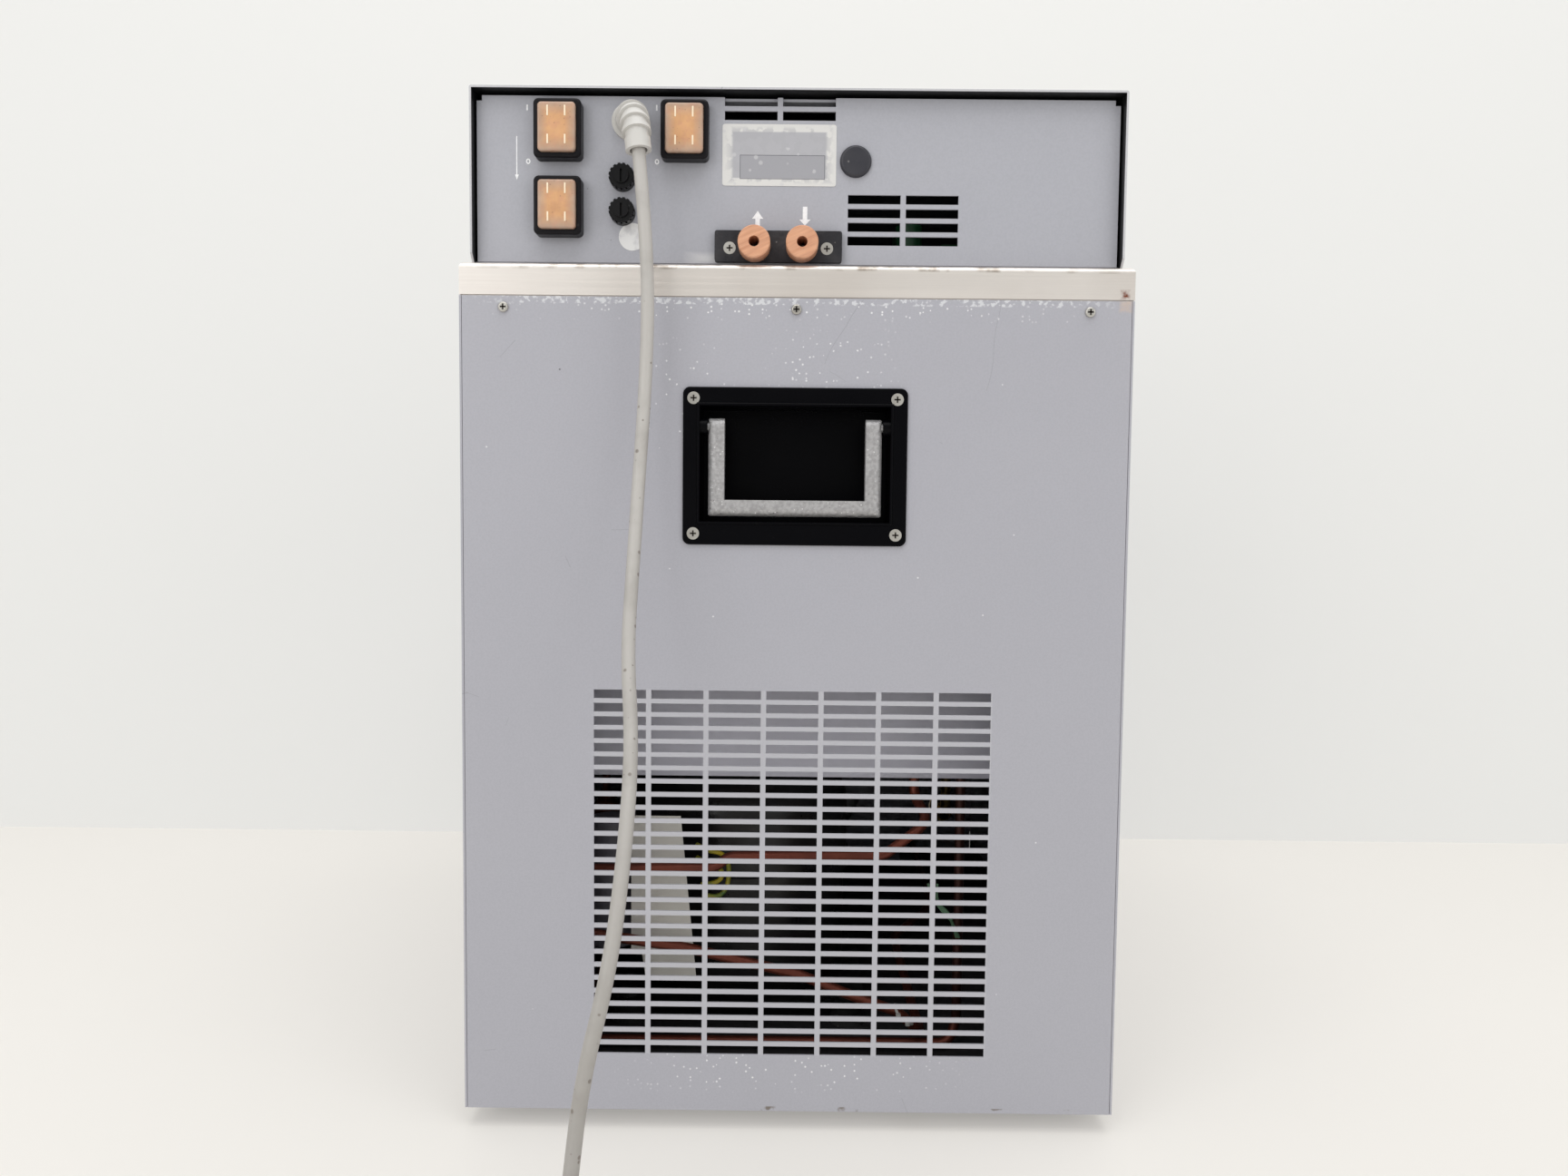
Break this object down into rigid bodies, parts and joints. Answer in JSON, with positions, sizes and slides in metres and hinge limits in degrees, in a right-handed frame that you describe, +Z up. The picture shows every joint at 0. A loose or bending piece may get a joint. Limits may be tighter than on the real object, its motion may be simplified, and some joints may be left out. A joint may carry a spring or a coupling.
{
  "type": "refrigerated circulator",
  "caption": "Bench refrigerated circulator: a painted cabinet with a punched grille and chest handles under a stainless bath, with a control head at the back.",
  "frame": {"origin": "on the ground under the middle of the machine, measured without its mains lead", "axes": "+Z up; -Y is the service side with the grille, switches and lead; +Y is the user's side with the display and lid"},
  "size_m": [0.38, 0.951, 0.6013],
  "materials": {
    "painted_sheet": "semi-gloss blue-grey paint",
    "head_paint": "matt blue-grey paint",
    "fascia_plastic": "fine texture",
    "display_plastic": "gloss",
    "stainless": "brushed",
    "zinc_sheet": "dull zinc",
    "screw_steel": "zinc plated",
    "foot_rubber": "matt",
    "foam": "moulded foam",
    "copper": "drawn copper",
    "brass": "turned",
    "black_plastic": "moulded",
    "bail_metal": "speckled hammer finish",
    "port_casting": "rough black",
    "laminate": "layered brown",
    "amber_plastic": "translucent amber",
    "clear_boot": "yellowed clear",
    "relief_plastic": "moulded",
    "relay_plastic": "moulded cream",
    "compressor_paint": "gloss black",
    "fan_plastic": "moulded",
    "fins": "rolled",
    "pump_metal": "machined",
    "board": "board and parts",
    "cord_sheath": "matt grey",
    "pin_metal": "plated"
  },
  "bodies": {
    "root": {"base_pan": "zinc_sheet", "bath_deck": "stainless", "bath_lid": "stainless", "bath_tub": "stainless", "blanking_plug": "black_plastic", "circuit_board": "board", "compressor": "compressor_paint", "compressor_mounts": "foot_rubber", "condenser": "fins", "cord_coil": "cord_sheath", "cord_tube": "cord_sheath", "countersunk_screws": "screw_steel", "discharge_pipe": "copper", "display_window": "display_plastic", "drain_valve": "brass", "evaporator_coil": "copper", "fan_motor": "compressor_paint", "fan_shroud": "zinc_sheet", "feet": "foot_rubber", "filter_drier": "copper", "foam_insulation": "foam", "front_handle_tray": "black_plastic", "front_panel": "painted_sheet", "fuse_holders": "black_plastic", "head_base": "zinc_sheet", "head_cover": "head_paint", "head_front_panel": "fascia_plastic", "head_rear_panel": "head_paint", "heater": "stainless", "lid_knob": "black_plastic", "liquid_lines": "copper", "mains_plug": "cord_sheath", "pan_head_screws": "screw_steel", "plug_pins": "pin_metal", "port_block": "port_casting", "port_bushes": "laminate", "pump_housing": "pump_metal", "pump_motor": "compressor_paint", "pump_pipes": "pump_metal", "rear_handle_tray": "black_plastic", "rear_panel": "painted_sheet", "relay_box": "relay_plastic", "side_panel_left": "painted_sheet", "side_panel_right": "painted_sheet", "splash_covers": "clear_boot", "start_capacitor": "black_plastic", "strain_relief": "relief_plastic", "suction_pipe": "copper", "switch_frames": "black_plastic", "tank_casing": "zinc_sheet"},
    "rear_bail": {"rear_handle_bail": "bail_metal"},
    "front_bail": {"front_handle_bail": "bail_metal"},
    "rocker_1": {"rocker_1": "amber_plastic"},
    "rocker_2": {"rocker_2": "amber_plastic"},
    "rocker_3": {"rocker_3": "amber_plastic"},
    "fuse_cap_1": {"fuse_cap_1": "black_plastic"},
    "fuse_cap_2": {"fuse_cap_2": "black_plastic"},
    "fan": {"fan_blade": "fan_plastic"},
    "pump_rotor": {"pump_rotor": "pump_metal"},
    "drain_tap": {"drain_tap": "black_plastic"}
  },
  "joints": [
    {"name": "rear_bail_hinge", "type": "hinge", "parent": "root", "child": "rear_bail", "pos_m": [0, -0.28065, 0.4114], "axis": [-1, 0, 0], "range_deg": [0, 90]},
    {"name": "front_bail_hinge", "type": "hinge", "parent": "root", "child": "front_bail", "pos_m": [0, 0.25365, 0.4114], "axis": [1, 0, 0], "range_deg": [0, 90]},
    {"name": "rocker_1_tip", "type": "hinge", "parent": "root", "child": "rocker_1", "pos_m": [-0.1356, -0.2664, 0.5777], "axis": [1, 0, 0], "range_deg": [-18, 0]},
    {"name": "rocker_2_tip", "type": "hinge", "parent": "root", "child": "rocker_2", "pos_m": [-0.1356, -0.2664, 0.5351], "axis": [1, 0, 0], "range_deg": [-18, 0]},
    {"name": "rocker_3_tip", "type": "hinge", "parent": "root", "child": "rocker_3", "pos_m": [-0.064, -0.2664, 0.5777], "axis": [1, 0, 0], "range_deg": [-18, 0]},
    {"name": "fuse_cap_1_turn", "type": "hinge", "parent": "root", "child": "fuse_cap_1", "pos_m": [-0.0996, -0.2695, 0.5519], "axis": [0, 1, 0], "range_deg": [0, 90]},
    {"name": "fuse_cap_2_turn", "type": "hinge", "parent": "root", "child": "fuse_cap_2", "pos_m": [-0.0996, -0.2695, 0.5329], "axis": [0, 1, 0], "range_deg": [0, 90]},
    {"name": "fan_spin", "type": "hinge", "parent": "root", "child": "fan", "pos_m": [0, 0.1705, 0.104], "axis": [0, 1, 0], "continuous": true},
    {"name": "pump_spin", "type": "hinge", "parent": "root", "child": "pump_rotor", "pos_m": [-0.08814, -0.1315, 0.34], "axis": [0, 0, 1], "continuous": true},
    {"name": "drain_tap_turn", "type": "hinge", "parent": "root", "child": "drain_tap", "pos_m": [0.156, 0.2655, 0.073], "axis": [0, 0, 1], "range_deg": [0, 90]}
  ]
}
